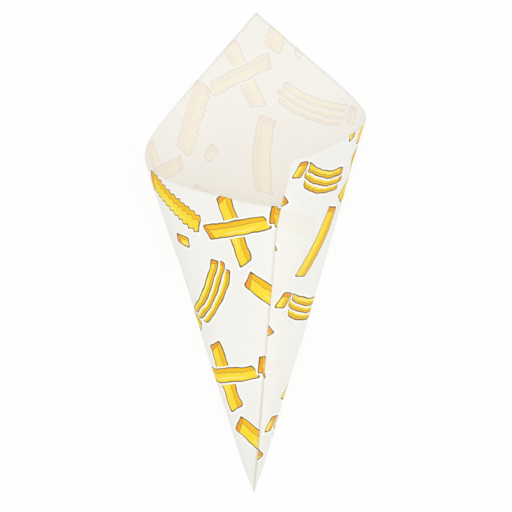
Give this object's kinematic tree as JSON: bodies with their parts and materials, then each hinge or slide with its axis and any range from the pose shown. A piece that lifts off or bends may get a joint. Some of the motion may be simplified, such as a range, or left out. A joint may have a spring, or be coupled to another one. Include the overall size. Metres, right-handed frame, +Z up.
{
  "type": "chip cone",
  "caption": "Pointed paper cone for chips, rolled from a flat sheet and glued along a lap, with a tall back corner, a slanted mouth and a closed tip.",
  "frame": {"origin": "centre of the cone's bounding box in X and Y, at the floor it lies on", "axes": "+Y from the tip to the tall back corner, +Z up from the floor, out of the back panel towards the lap, +X to the right when the lap faces the viewer and the tip points down"},
  "size_m": [0.12, 0.2664, 0.0885],
  "materials": {
    "printed_paper": "uncoated white greaseproof paper with a yellow and orange print on the outer face"
  },
  "bodies": {
    "root": {"paper_cone": "printed_paper"}
  },
  "joints": []
}
